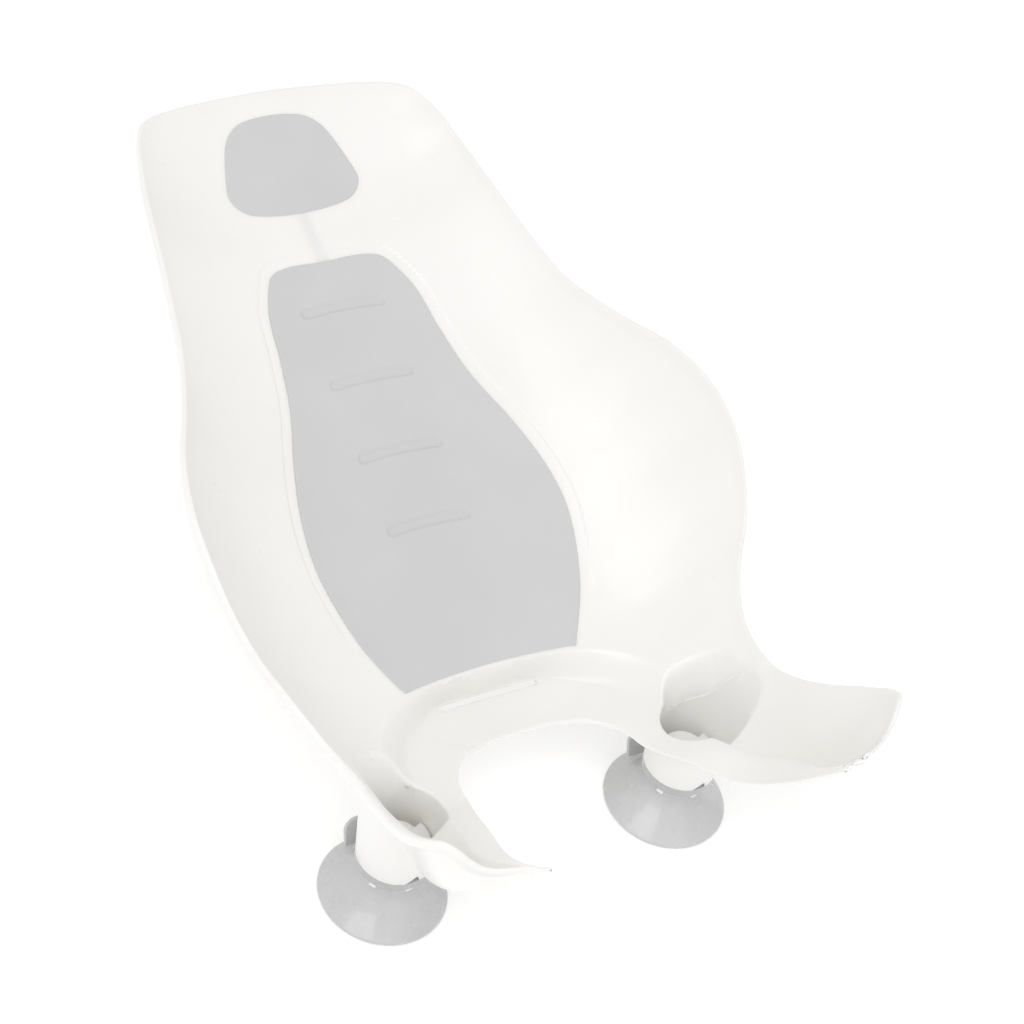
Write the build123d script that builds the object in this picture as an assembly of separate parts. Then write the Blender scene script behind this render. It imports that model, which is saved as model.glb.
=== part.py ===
from build123d import *
import math
import os
from bisect import bisect_right

os.makedirs("parts", exist_ok=True)

# An infant's reclined bath support: a thin white shell on four suction feet, with two soft pads.
# Millimetres. +X is the child's left, +Y runs from the feet to the head, +Z is up.
# The origin is on the floor, in the middle of the seat's length and width.

# ---- driving dimensions -------------------------------------------------------------------------
LEG_Y = -171.6  # front legs' axis; the tables below measure their y from here
LEG_X = 100.0  # half the spacing of the front legs
REAR_X, REAR_Y = 54.0, LEG_Y + 255.0  # rear legs' axis
WALL = 3.2  # shell's upright thickness
LIP_OUT, LIP_IN, LIP_DROP, LIP_DEEP, LIP_THIN = 3.0, 4.0, 2.0, 8.0, 0.6  # turned-down lip at the rim
PAD_THICK = 1.4  # the pads fill recesses of this depth
LEG_END = 37.4  # height of the legs' lower rims
LEG_R, LEG_WALL = 22.8, 2.6
# a front leg's rings: height, offset outward, offset along Y, radius
LEG_RINGS = [(LEG_END, 0.0, 0.0, LEG_R), (112.0, 4.0, -1.0, 29.5), (140.0, 5.5, -1.4, 32.0)]
LEG_X_RANGE, LEG_Y_RANGE = (55, 150), (-42, 42)  # what holds a front leg's top
CUP_R = 38.8  # suction cup at the floor
CUP_CONE = [(34, 5), (27, 10.5), (20, 17), (16.5, 21.5)]
CUP_HOLLOW = [(0, 14.5), (14, 12), (24, 7.5), (32, 3.4)]
CUP_LIP, CUP_LIP_TALL, CUP_NECK_R = 1.6, 1.2, 15.5
BOWL_POWER = 2.6  # how flat the seat stays before its sides rise

PAD_PROUD, PAD_ROWS = 0.5, 31
CUT_OVER = 8.0  # how far the cutter for a pad's recess stands above the surface
BORE_OVER = 1.0  # how far the cutter for a leg's bore runs past its lower rim
FACE_GAP, FIT_GAP = 0.3, 0.1  # between faces that move past each other, and round fixed fits
SOCKET_R, SOCKET_WALL, SOCKET_LOW, SOCKET_DEEP, SOCKET_HIGH = 15.2, 3.0, 116.0, 8.5, 160.0
SOCKET_SUNK = PAD_THICK + 0.8  # the boss ends in the wall, below the back pad's recess
SOCKET_X_RANGE, SOCKET_Y_RANGE = (20, 88), (225, 285)  # what holds the boss's top
SPIGOT_R, SPIGOT_LONG, REAR_TOP_R = 15.1, 7.5, 19.0
LEDGE_R, LEDGE_LOW, LEDGE_HIGH, LEDGE_HALF, LEDGE_ANGLES = 17.6, 43.0, 46.0, 22.0, (0, 180)
LEDGE_SUNK = 2.0  # how far the ledges run into the leg's wall
LUG_ROOT, LUG_R, LUG_HALF, PLUG_TOP = 8.0, 19.4, 20.0, 49.5
NOTCH_WIDE, NOTCH_TALL, NOTCH_OFF = 10.0, 6.5, 1.5  # its point stands a little to one side
NECK_TOP, STEM_R, STEM_TOP = 26.3, 6.0, 38.0
PLUG_BASE_R, BASE_LUG_R, BASE_LUG_HALF, BASE_LUG_ANGLES = 17.5, 20.6, 6.0, (-86, -150, 94, 30)
COLLAR_LOW, COLLAR_BORE, COLLAR_R, COLLAR_FOOT_R, COLLAR_FOOT = 28.6, 14.0, LEG_R - 0.4, 20.8, 2.5
TAB_OUT, TAB_LOW, TAB_WIDE, TAB_TALL, TAB_THICK, TAB_ROUND, TAB_LEAN = 30.5, 9.6, 23.0, 17.0, 2.8, 8.0, 25.0
RUNNER_YS, RUNNER_HALF, RUNNER_ON, RUNNER_THICK, PEG_R, PEG_SHORT = (341, 388), 4.0, 3.0, 1.6, 2.2, 1.0

# ---- tables of (y from the front legs, value) ---------------------------------------------------
SPINE_Z = [(-121, 160), (-95, 126), (-63, 95), (-37, 84), (-16, 75), (0, 70), (15, 67.5), (40, 66.5),
           (64, 67), (88, 71), (130, 86.5), (176, 104.5), (269, 140.5), (346, 169), (372, 175.5),
           (395, 183.5), (420, 196), (441, 208.5), (460, 221)]
RIM_X = [(-121, 158), (-79, 155), (-64, 152), (-41, 143), (-19, 138.5), (-2, 137), (12, 138), (41, 145),
         (65, 155), (85, 167), (107, 175), (140, 178), (162, 176), (187, 170), (222, 154), (261, 137),
         (300, 127), (347, 119), (389, 112), (405, 107), (428, 100), (460, 80)]
RIM_Z = [(-121, 225), (-108, 218), (-90, 198), (-79, 182), (-64, 165), (-41, 141), (-19, 126), (-2, 119),
         (26, 116), (41, 118), (65, 129), (95, 154), (120, 171), (147, 183), (187, 192), (261, 189),
         (300, 195), (347, 207), (389, 218), (428, 226), (460, 228)]
# distances from the point (0, 5) at an angle of 0 (sideways) to 90 degrees (towards the head) and past it
U_EDGE_R = [(0, 60), (5.4, 58.9), (11.4, 56.8), (18.4, 54.4), (27, 51.3), (39, 46.2), (45, 42.4), (90, 33),
            (135, 42.4)]
FOOT_R = [(0, 85), (12, 85.5), (25, 84), (36, 82), (46, 80.5), (64, 80), (90, 73), (116, 80)]
CREST_R = [(0, 104), (18.4, 104.3), (36.4, 99.4), (50, 92.5), (67, 82.5), (90, 78.5), (113, 82.5)]
FOOT_DEPTH = [(0, 7), (12, 8.5), (25, 10.5), (36, 12), (48, 14), (63, 16), (90, 18), (117, 16)]
EDGE_DEPTH = [(0, 3), (40, 4.5), (90, 5), (140, 4.5)]
U_CENTRE_Y = 5.0
# thigh troughs in the wings: middle line's x and depth
TROUGH_X = [(-112, 116), (-95, 117), (-77, 121), (-60, 117), (-43, 112), (-20, 108)]
TROUGH_DEPTH = [(-113, 0), (-98, 20), (-85, 26), (-30, 26), (0, 0)]
TROUGH_INNER, TROUGH_OUTER = 19.0, 29.0  # half widths towards the seat's middle and the rim
# the slope into a front leg: its centre, depth, and inner and outer reach
DIP_X, DIP_Y, DIP_DEEP, DIP_CORE, DIP_NEAR, DIP_FAR = 104.0, -1.0, 16.0, 21.0, 25.0, 38.0

# ---- the seat's wall ------------------------------------------------------------------------------
# rays that fan out from the U cut-out's edge to the outer rim: inner x, y, outer x, y
RAYS = [(0, 38, 0, 456), (9, 37.9, 34, 454.5), (17, 37.3, 64, 449.5), (24, 36.6, 86, 440), (30, 35, 98, 427),
        (35, 34, 106, 405), (38.5, 32.7, 112, 378), (41.5, 31.3, 118, 345), (44.5, 29.3, 125, 308),
        (47.5, 26.7, 134, 270), (50, 24.2, 151, 228), (52.5, 21, 168, 192), (54.8, 17.6, 177.5, 155),
        (56.6, 14.4, 177, 118), (58.3, 11, 168, 86), (59.6, 6, 154, 62), (60.4, 0, 144, 38),
        (62, -7, 138.3, 14),
        (64.5, -16, 137.3, -7), (67.5, -26, 140, -26), (71, -41, 145.5, -45), (74.5, -57, 150.5, -62),
        (78.5, -74, 152, -78), (82, -87, 146, -90), (85.5, -97, 136, -100), (89, -105, 124, -107.5),
        (92, -111, 113, -112.5), (95, -115, 106, -115.6)]
RAY_STEPS = [0, 10, 20, 30, 38, 48, 60]  # places along a ray, before the even ones
RAY_EVEN = 8
FULL_RAY = 76.0  # shorter rays have their near places drawn together

# ---- half outlines, x then y from the front legs --------------------------------------------------
BACK_PAD = [[(0, 346), (24, 346), (38, 342), (45, 332), (52, 314), (56, 287), (63, 254), (77, 215), (85, 186),
             (88, 160), (85, 136), (76, 107), (60, 78)], [(60, 78), (48, 81), (25, 84), (0, 85)]]
HEAD_PAD = [[(0, 443), (20, 441), (30, 436), (37, 427), (45, 404), (46, 396), (42, 389), (33, 384.5), (0, 382)]]
GROOVE_YS = [316, 269, 222, 176]
GROOVE_HALF, GROOVE_WIDE, GROOVE_DEEP, GROOVE_BOW = 30.0, 7.5, 0.45, 190.0
SLOT_Y, SLOT_Z, SLOT_LONG, SLOT_WIDE, SLOT_DEEP = 74.8, 52.5, 70.0, 3.9, 9.0
SLOT_LEAN = (0, -0.8, 1)  # the slot runs down and back, square to the gutter's outer side

FEET = {
    "front_left": (LEG_X, LEG_Y),
    "front_right": (-LEG_X, LEG_Y),
    "rear_left": (REAR_X, REAR_Y),
    "rear_right": (-REAR_X, REAR_Y),
}


def smooth(table, t):
    """A cubic through the table's (t, value) pairs, its slope at each taken from the neighbours."""
    last = len(table) - 1
    t = min(max(t, table[0][0]), table[last][0])
    i = min(bisect_right([row[0] for row in table], t) - 1, last - 1)
    (t0, a), (t1, b) = table[i], table[i + 1]
    h = t1 - t0

    def slope(k):
        (p, u), (q, v) = table[max(k - 1, 0)], table[min(k + 1, last)]
        return (v - u) / (q - p)

    s = (t - t0) / h
    start = (1 + 2 * s) * (1 - s) ** 2 * a + s * (1 - s) ** 2 * h * slope(i)
    return start + s * s * (3 - 2 * s) * b + s * s * (s - 1) * h * slope(i + 1)


def ease(t):
    t = min(max(t, 0.0), 1.0)
    return t * t * (3 - 2 * t)


def bowl_z(x, y):
    """The plain bowl of the seat, back and wings, before its hollows; y from the front legs."""
    low = smooth(SPINE_Z, y)
    side = min(abs(x) / smooth(RIM_X, y), 1.0)
    return low + (smooth(RIM_Z, y) - low) * side**BOWL_POWER


def gutter_depth(x, y):
    """The drained gutter and flange that run round the U cut-out, inside the crest line."""
    up = max(y - U_CENTRE_Y, 0.0)
    angle = math.degrees(math.atan2(up, abs(x)))
    r = math.hypot(up, x)
    edge, foot, crest = (smooth(table, angle) for table in (U_EDGE_R, FOOT_R, CREST_R))
    fade = ease((y + 35) / 40)
    if r >= foot:
        return fade * smooth(FOOT_DEPTH, angle) * ease((crest - r) / (crest - foot))
    inward = min((foot - r) / (foot - edge), 1.0)
    deep = smooth(FOOT_DEPTH, angle)
    return fade * (deep + (smooth(EDGE_DEPTH, angle) - deep) * inward)


def trough_depth(x, y):
    """The thigh trough along each wing."""
    off = abs(x) - smooth(TROUGH_X, y)
    wide = TROUGH_OUTER if off > 0 else TROUGH_INNER
    across = max(1 - (off / wide) ** 2, 0.0)
    return smooth(TROUGH_DEPTH, y) * across**1.5


def dip_depth(x, y):
    """The slope down into a front leg from behind and from outside it."""
    out, back = abs(x) - DIP_X, y - DIP_Y
    r = max(math.hypot(out, back), 0.001)
    open_side = ease((back / r + 0.2) / 0.9) * ease((out / r + 0.75) / 0.6)
    open_side = open_side * (1 - 0.75 * ease((out / r - 0.6) / 0.4))
    reach = DIP_NEAR + (DIP_FAR - DIP_NEAR) * open_side
    return DIP_DEEP * open_side * ease((reach - r) / (reach - DIP_CORE))


def top_z(x, y):
    return bowl_z(x, y) - gutter_depth(x, y) - trough_depth(x, y) - dip_depth(x, y)


def spread(start, end, count):
    return [start + (end - start) * i / (count - 1) for i in range(count)]


def ray_steps(ray):
    """Distances along a ray, close together across the gutter and even beyond it."""
    x0, y0, x1, y1 = ray
    length = math.hypot(x1 - x0, y1 - y0)
    near = [step * min(1.0, length / FULL_RAY) for step in RAY_STEPS]
    return near + spread(near[-1], length, RAY_EVEN)[1:]


def ray_profile(ray):
    """The shell's top surface along a ray, as (distance, height) pairs."""
    x0, y0, x1, y1 = ray
    steps = ray_steps(ray)
    return [(s, top_z(x0 + (x1 - x0) * s / steps[-1], y0 + (y1 - y0) * s / steps[-1])) for s in steps]


def under(profile, depth):
    """The profile moved down square to itself."""
    moved = []
    for i, (s, z) in enumerate(profile):
        (s0, z0), (s1, z1) = profile[max(i - 1, 0)], profile[min(i + 1, len(profile) - 1)]
        slope = math.atan2(z1 - z0, s1 - s0)
        moved.append((s + depth * math.sin(slope), z - depth * math.cos(slope)))
    return moved


def upright_wire(ray, spline, corners, closing=()):
    """A closed wire in the upright plane of a ray: a spline, straight corners and a closing spline."""
    x0, y0, x1, y1 = ray
    plane = Plane(origin=(x0, y0 + LEG_Y, 0), x_dir=(x1 - x0, y1 - y0, 0), z_dir=(y1 - y0, x0 - x1, 0))

    def at(p):
        return plane.from_local_coords(Vector(p[0], p[1], 0))

    closing = list(closing)
    loop = [spline[-1]] + corners + (closing[:1] or [spline[0]])
    edges = [Edge.make_spline([at(p) for p in spline])]
    edges += [Edge.make_line(at(p), at(q)) for p, q in zip(loop, loop[1:])]
    if closing:
        edges.append(Edge.make_spline([at(p) for p in closing]))
        edges.append(Edge.make_line(at(closing[-1]), at(spline[0])))
    return Wire(edges)


def shell_section(ray):
    top = ray_profile(ray)
    end, rim = top[-1]
    lip = [(end + LIP_OUT, rim - LIP_DROP), (end + LIP_OUT, rim - LIP_DEEP), (end + LIP_THIN, rim - LIP_DEEP)]
    lower = [p for p in under(top, WALL) if p[0] < end - LIP_IN] + [(end - LIP_IN / 2, rim - LIP_DEEP / 2)]
    return upright_wire(ray, top, lip, reversed(lower))


def shell_skin():
    """The wall of the seat as one loft, from the right wing's tip round the head to the left wing's."""
    half = [shell_section(ray) for ray in RAYS]
    return Solid.make_loft([wire.mirror(Plane.YZ) for wire in half[:0:-1]] + half, False)


def level_wire(y, upper, lower):
    """A closed wire across the seat at one y."""
    top = Edge.make_spline([Vector(x, y + LEG_Y, z) for x, z in upper])
    bottom = Edge.make_spline([Vector(x, y + LEG_Y, z) for x, z in lower])
    ends = [Edge.make_line(top @ 1, bottom @ 0), Edge.make_line(bottom @ 1, top @ 0)]
    return Wire([top, ends[0], bottom, ends[1]])


def above(x_range, y_range, depth):
    """What lies over a level at that depth in the shell's wall, within a range of x and of y."""
    wires = []
    for y in spread(*y_range, 13):
        xs = spread(*x_range, 13)
        roof = [(x, 300) for x in xs]
        floor = [(x, top_z(x, y) - depth) for x in reversed(xs)]
        wires.append(level_wire(y, roof, floor))
    return Solid.make_loft(wires, False)


def tube(x, y, low, high, radius):
    """A plain upright cylinder."""
    return Pos(x, y, low) * Cylinder(radius, high - low, align=(Align.CENTER, Align.CENTER, Align.MIN))


def turned(profile):
    """A solid of revolution about Z from (radius, height) corners."""
    face = make_face(Polyline(*[(r, 0, z) for r, z in profile], close=True))
    return revolve(face, axis=Axis.Z)


def arc_lug(inner, outer, low, high, angle, half_angle):
    """A piece of a ring, centred on an angle about Z."""
    corners = [(inner, 0, low), (outer, 0, low), (outer, 0, high), (inner, 0, high)]
    face = make_face(Polyline(*corners, close=True))
    return Rot(0, 0, angle - half_angle) * revolve(face, axis=Axis.Z, revolution_arc=2 * half_angle)


def funnel(side, inward):
    """A front leg's outside, or its longer bore: it widens and leans out into the shell's side."""
    circles = [
        Pos(side * (LEG_X + out), LEG_Y + back, height) * Circle(radius - inward)
        for height, out, back, radius in LEG_RINGS
    ]
    if not inward:
        return loft(circles[:2])
    circles[0] = Pos(0, 0, -BORE_OVER) * circles[0]
    return loft(circles[:2]) + loft(circles[1:])


def leg_track():
    """What a leg holds for its foot: two ledges that the plug's lugs ride over."""
    outer = LEG_R - LEG_WALL + LEDGE_SUNK
    return [arc_lug(LEDGE_R, outer, LEDGE_LOW, LEDGE_HIGH, angle, LEDGE_HALF) for angle in LEDGE_ANGLES]


def notch():
    """The small pointed notch in the front of a leg's lower rim."""
    half = NOTCH_WIDE / 2
    outline = Polyline((-half, -BORE_OVER), (half, -BORE_OVER), (NOTCH_OFF, NOTCH_TALL), close=True)
    return Pos(0, 0, LEG_END) * Rot(90, 0, 0) * extrude(make_face(outline), amount=LEG_R + BORE_OVER)


def front_leg(side):
    """A hollow front leg, trimmed where it meets the underside of the shell's surface."""
    over = above(sorted(side * x for x in LEG_X_RANGE), LEG_Y_RANGE, WALL / 3)
    leg = funnel(side, 0.0) - over - funnel(side, LEG_WALL)
    place = Pos(side * LEG_X, LEG_Y, 0)
    for ledge in leg_track():
        leg = leg + place * ledge
    return leg - place * notch()


def rear_socket(side):
    """The round boss behind the back that takes a rear leg's spigot."""
    boss = tube(side * REAR_X, REAR_Y, SOCKET_LOW, SOCKET_HIGH, SOCKET_R + SOCKET_WALL)
    boss = boss - above(sorted(side * x for x in SOCKET_X_RANGE), SOCKET_Y_RANGE, SOCKET_SUNK)
    return boss - tube(side * REAR_X, REAR_Y, SOCKET_LOW - 1, SOCKET_LOW + SOCKET_DEEP, SOCKET_R)


def build_shell(runner):
    """The seat's wall with its legs, sockets and drain slot, less what its pads and their runner fill."""
    slot = Pos(0, SLOT_Y + LEG_Y, SLOT_Z) * SlotOverall(SLOT_LONG, SLOT_WIDE)
    shell = shell_skin() - extrude(slot, amount=SLOT_DEEP, dir=SLOT_LEAN, both=True)
    for outline in (BACK_PAD, HEAD_PAD):
        shell = shell - pad_solid(outline, CUT_OVER, PAD_THICK)
    shell = shell - runner
    for side in (1, -1):
        shell = shell - funnel(side, LEG_WALL)
    for side in (1, -1):
        shell = shell + front_leg(side) + rear_socket(side)
    return shell.solids().sort_by(SortBy.VOLUME)[-1]


def mirrored_area(runs):
    """A closed outline from the smooth runs of its right half."""
    right = [Spline(*[(x, y + LEG_Y) for x, y in run]) for run in runs]
    left = [mirror(run, about=Plane.YZ) for run in right]
    return make_face(right + left)


def pad_solid(outline, proud=PAD_PROUD, thick=PAD_THICK - FIT_GAP):
    """A soft pad: a prism of its outline, kept between two depths about the shell's surface."""
    ys = [y for run in outline for _, y in run]
    rows = spread(min(ys) - 6, max(ys) + 6, PAD_ROWS)
    reach = max(x for run in outline for x, _ in run) + 6
    wires = []
    for y in rows:
        xs = spread(-reach, reach, 13)
        upper = [(x, top_z(x, y) + proud) for x in xs]
        lower = [(x, z - thick - proud) for x, z in reversed(upper)]
        wires.append(level_wire(y, upper, lower))
    return Solid.make_loft(wires, False) & extrude(mirrored_area(outline), amount=400)


def cut_grooves(pad):
    """The back pad's four shallow arc-shaped grooves."""
    for y in GROOVE_YS:
        middle = y + LEG_Y
        half_angle = math.degrees(GROOVE_HALF / GROOVE_BOW)
        arc = CenterArc((0, middle - GROOVE_BOW), GROOVE_BOW, 90 - half_angle, 2 * half_angle)
        level = top_z(0, y) + PAD_PROUD - GROOVE_DEEP
        slope = math.degrees(math.atan2(top_z(0, y + 8) - top_z(0, y - 8), 16))
        cutter = extrude(Pos(0, -middle, 0) * SlotArc(arc, GROOVE_WIDE), amount=10)
        pad = pad - Pos(0, middle, level) * Rot(slope, 0, 0) * cutter
    return pad


def build_rear_leg(x, y):
    """A tapered hollow leg, closed at its top by a spigot that plugs into the shell's socket."""
    top = SOCKET_LOW - FACE_GAP
    wall = LEG_WALL
    leg = turned([(LEG_R - wall, LEG_END), (LEG_R, LEG_END), (REAR_TOP_R, top), (SPIGOT_R, top),
                  (SPIGOT_R, top + SPIGOT_LONG), (0, top + SPIGOT_LONG), (0, top - wall),
                  (REAR_TOP_R - wall, top - wall)])
    for ledge in leg_track():
        leg = leg + ledge
    return Pos(x, y, 0) * (leg - notch())


def build_cup(x, y):
    """The rubber suction cup: a thin cone, hollow beneath, with a neck and a stem for the plug."""
    outside = [(CUP_R, 0), (CUP_R, CUP_LIP_TALL)] + CUP_CONE + [(CUP_NECK_R, NECK_TOP)]
    stem = [(STEM_R, NECK_TOP), (STEM_R, STEM_TOP), (0, STEM_TOP)]
    return Pos(x, y, 0) * turned(outside + stem + CUP_HOLLOW + [(CUP_R - CUP_LIP, 0)])


def build_tab(x, y):
    """The pull tab that lifts the cup's edge: a flap with rounded corners that leans outward."""
    half = TAB_WIDE / 2
    face = make_face(Polyline((-half, 0), (half, 0), (half, TAB_TALL), (-half, TAB_TALL), close=True))
    face = fillet(face.vertices().sort_by(Axis.Y)[2:], TAB_ROUND)
    solid = Rot(90, 0, 0) * extrude(face, amount=TAB_THICK / 2, both=True)
    return Pos(x, y + TAB_OUT, TAB_LOW) * Rot(-TAB_LEAN, 0, 0) * solid


def build_collar(x, y):
    """The grey ring between the leg's rim and the cup, turned by hand."""
    top = LEG_END - FACE_GAP
    ring = turned([(COLLAR_BORE, COLLAR_LOW), (COLLAR_FOOT_R, COLLAR_LOW), (COLLAR_R, COLLAR_LOW + COLLAR_FOOT),
                   (COLLAR_R, top), (COLLAR_BORE, top)])
    return Pos(x, y, 0) * ring


def build_plug(x, y):
    """The hard plug: a base under the collar, a core up into the leg, and lugs over the leg's ledges."""
    plug = turned([(STEM_R + FIT_GAP, NECK_TOP), (PLUG_BASE_R, NECK_TOP), (PLUG_BASE_R, COLLAR_LOW),
                   (COLLAR_BORE - FIT_GAP, COLLAR_LOW), (COLLAR_BORE - FIT_GAP, PLUG_TOP),
                   (0, PLUG_TOP), (0, STEM_TOP + FIT_GAP), (STEM_R + FIT_GAP, STEM_TOP + FIT_GAP)])
    for angle in LEDGE_ANGLES:
        plug = plug + arc_lug(LUG_ROOT, LUG_R, LEDGE_HIGH + FACE_GAP, PLUG_TOP, angle, LUG_HALF)
    for angle in BASE_LUG_ANGLES:
        plug = plug + arc_lug(LUG_ROOT, BASE_LUG_R, NECK_TOP, COLLAR_LOW, angle, BASE_LUG_HALF)
    return Pos(x, y, 0) * plug


def build_runner():
    """The strip of pad material behind the shell, with a peg up to each pad."""
    start, end = RUNNER_YS
    wires = []
    for y in spread(start - 5, end + 5, 9):
        upper = [(x, top_z(x, y) - RUNNER_ON) for x in spread(-RUNNER_HALF, RUNNER_HALF, 5)]
        lower = [(x, z - RUNNER_THICK) for x, z in reversed(upper)]
        wires.append(level_wire(y, upper, lower))
    runner = Solid.make_loft(wires, False)
    for y in RUNNER_YS:
        height = top_z(0, y)
        runner = runner + tube(0, y + LEG_Y, height - RUNNER_ON - 1, height - PAD_THICK - PEG_SHORT, PEG_R)
    return runner


def build_all():
    runner = build_runner()
    parts = {"shell": build_shell(runner), "pad_runner": runner}
    parts["back_pad"] = cut_grooves(pad_solid(BACK_PAD))
    parts["head_pad"] = pad_solid(HEAD_PAD)
    for place, (x, y) in FEET.items():
        parts[f"suction_cup_{place}"] = build_cup(x, y)
        parts[f"pull_tab_{place}"] = build_tab(x, y)
        parts[f"cup_collar_{place}"] = build_collar(x, y)
        parts[f"bayonet_plug_{place}"] = build_plug(x, y)
        if place.startswith("rear"):
            parts[place.replace("rear", "rear_leg")] = build_rear_leg(x, y)
    return parts


for node, solid in build_all().items():
    solid.label = node
    export_step(solid, f"parts/{node}.step")
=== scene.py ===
import math
import bmesh
import bpy
import numpy as np
from mathutils import Matrix, Vector


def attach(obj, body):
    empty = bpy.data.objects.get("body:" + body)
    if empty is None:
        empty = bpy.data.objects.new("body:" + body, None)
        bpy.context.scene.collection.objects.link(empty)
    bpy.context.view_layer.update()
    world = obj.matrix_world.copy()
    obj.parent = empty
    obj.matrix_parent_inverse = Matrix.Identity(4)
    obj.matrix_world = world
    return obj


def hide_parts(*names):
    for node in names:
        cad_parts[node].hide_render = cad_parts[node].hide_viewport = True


# An infant's reclined bath support: a thin white shell on four suction feet, with two soft pads.
# Shapes are worked out in millimetres with y measured from the front legs' axis, as in the CAD model,
# and are moved to the frame's metres by place().

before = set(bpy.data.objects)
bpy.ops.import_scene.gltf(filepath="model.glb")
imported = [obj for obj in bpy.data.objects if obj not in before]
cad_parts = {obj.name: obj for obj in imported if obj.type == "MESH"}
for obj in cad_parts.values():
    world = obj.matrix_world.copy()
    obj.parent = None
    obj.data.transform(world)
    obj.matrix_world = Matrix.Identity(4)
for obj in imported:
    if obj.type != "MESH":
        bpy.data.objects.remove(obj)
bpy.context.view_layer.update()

# ---- dimensions shared with the CAD model --------------------------------------------------------
LEG_X, LEG_Y = 100.0, -171.6
FEET = {
    "front_left": (100.0, 0.0),
    "front_right": (-100.0, 0.0),
    "rear_left": (54.0, 255.0),
    "rear_right": (-54.0, 255.0),
}
WALL = 3.2
# a front leg's lower end, its cone's radius there, and how that grows and leans up to FLARE_Z
LEG_END, LEG_R, LEG_WALL = 37.4, 22.8, 2.6
FLARE_Z, LEG_FLARE, LEG_LEAN, LEG_BACK = 112.0, 6.7, 4.0, -1.0
BOWL_POWER = 2.6
U_CENTRE_Y = 5.0
GUTTER_START, GUTTER_RISE = -35.0, 40.0  # where the gutter begins along y and how soon it is full
TROUGH_INNER, TROUGH_OUTER, TROUGH_POWER = 19.0, 29.0, 1.5
DIP_X, DIP_Y, DIP_DEEP, DIP_CORE, DIP_NEAR, DIP_FAR = 104.0, -1.0, 16.0, 21.0, 25.0, 38.0
DIP_SIDE = 0.75  # how much of the dip is lost straight outward

# tables of (y from the front legs, value)
SPINE_Z = [(-121, 160), (-95, 126), (-63, 95), (-37, 84), (-16, 75), (0, 70), (15, 67.5), (40, 66.5),
           (64, 67), (88, 71), (130, 86.5), (176, 104.5), (269, 140.5), (346, 169), (372, 175.5),
           (395, 183.5), (420, 196), (441, 208.5), (460, 221)]
RIM_X = [(-121, 158), (-79, 155), (-64, 152), (-41, 143), (-19, 138.5), (-2, 137), (12, 138), (41, 145),
         (65, 155), (85, 167), (107, 175), (140, 178), (162, 176), (187, 170), (222, 154), (261, 137),
         (300, 127), (347, 119), (389, 112), (405, 107), (428, 100), (460, 80)]
RIM_Z = [(-121, 225), (-108, 218), (-90, 198), (-79, 182), (-64, 165), (-41, 141), (-19, 126), (-2, 119),
         (26, 116), (41, 118), (65, 129), (95, 154), (120, 171), (147, 183), (187, 192), (261, 189),
         (300, 195), (347, 207), (389, 218), (428, 226), (460, 228)]
# (angle, distance) or (angle, depth) about the point (0, 5): 0 degrees is sideways, 90 is towards the
# head, and a row past 90 only steers the curve's slope there
U_EDGE_R = [(0, 60), (5.4, 58.9), (11.4, 56.8), (18.4, 54.4), (27, 51.3), (39, 46.2), (45, 42.4), (90, 33),
            (135, 42.4)]
FOOT_R = [(0, 85), (12, 85.5), (25, 84), (36, 82), (46, 80.5), (64, 80), (90, 73), (116, 80)]
CREST_R = [(0, 104), (18.4, 104.3), (36.4, 99.4), (50, 92.5), (67, 82.5), (90, 78.5), (113, 82.5)]
FOOT_DEPTH = [(0, 7), (12, 8.5), (25, 10.5), (36, 12), (48, 14), (63, 16), (90, 18), (117, 16)]
EDGE_DEPTH = [(0, 3), (40, 4.5), (90, 5), (140, 4.5)]
TROUGH_X = [(-112, 116), (-95, 117), (-77, 121), (-60, 117), (-43, 112), (-20, 108)]
TROUGH_DEPTH = [(-113, 0), (-98, 20), (-85, 26), (-30, 26), (0, 0)]
# rays that fan out from the U cut-out's edge to the outer rim: inner x, y, outer x, y
RAYS = [(0, 38, 0, 456), (9, 37.9, 34, 454.5), (17, 37.3, 64, 449.5), (24, 36.6, 86, 440),
        (30, 35, 98, 427), (35, 34, 106, 405), (38.5, 32.7, 112, 378), (41.5, 31.3, 118, 345),
        (44.5, 29.3, 125, 308), (47.5, 26.7, 134, 270), (50, 24.2, 151, 228), (52.5, 21, 168, 192),
        (54.8, 17.6, 177.5, 155), (56.6, 14.4, 177, 118), (58.3, 11, 168, 86), (59.6, 6, 154, 62),
        (60.4, 0, 144, 38), (62, -7, 138.3, 14), (64.5, -16, 137.3, -7), (67.5, -26, 140, -26),
        (71, -41, 145.5, -45), (74.5, -57, 150.5, -62), (78.5, -74, 152, -78), (82, -87, 146, -90),
        (85.5, -97, 136, -100), (89, -105, 124, -107.5), (92, -111, 113, -112.5),
        (95, -115, 106, -115.6)]
RAY_FINE = [12] * 10 + [8] * 6 + [14] * 6 + [10] * 5  # how many visible rays each gap of RAYS holds
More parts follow.
